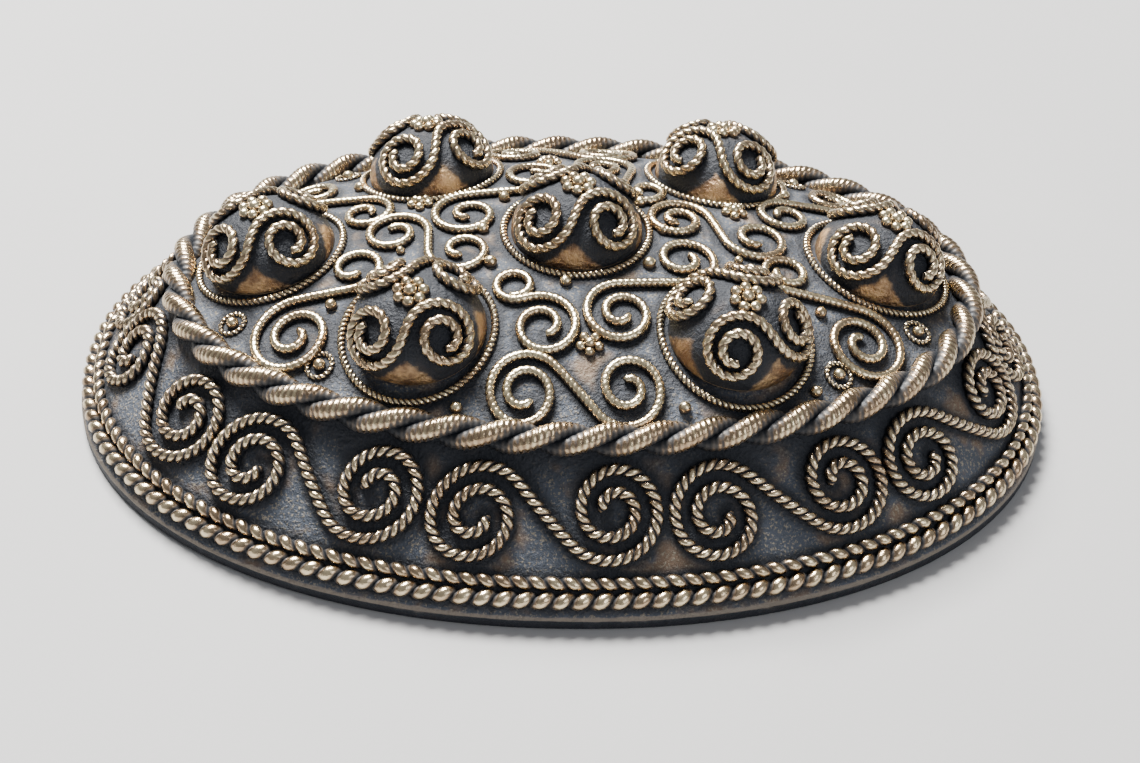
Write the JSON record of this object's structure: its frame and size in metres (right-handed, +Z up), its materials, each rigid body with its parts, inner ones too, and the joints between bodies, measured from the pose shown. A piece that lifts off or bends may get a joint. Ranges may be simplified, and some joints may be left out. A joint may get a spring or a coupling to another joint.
{
  "type": "fibula brooch",
  "caption": "Domed oval fibula brooch: a hollow bronze shell with rounded bosses, wire scrolls and twisted ropes, and a hinged pin inside.",
  "frame": {"origin": "middle of the rim's flat underside, on the surface the brooch lies on", "axes": "+X along the long axis from the hinge end to the catch end, +Z up out of the crown"},
  "size_m": [0.08, 0.0566, 0.0208],
  "materials": {
    "patinated_bronze": "blue-black patina in the recesses, crests worn to a soft polish",
    "plain_bronze": "plain, lightly tarnished"
  },
  "bodies": {
    "casting": {"shell": "patinated_bronze", "hinge_rivet": "plain_bronze"},
    "pin": {"pin": "plain_bronze"}
  },
  "joints": [
    {"name": "pin_hinge", "type": "hinge", "parent": "casting", "child": "pin", "pos_m": [-0.026, 0, 0.0033], "axis": [0, 1, 0], "range_deg": [-5, 150]}
  ]
}
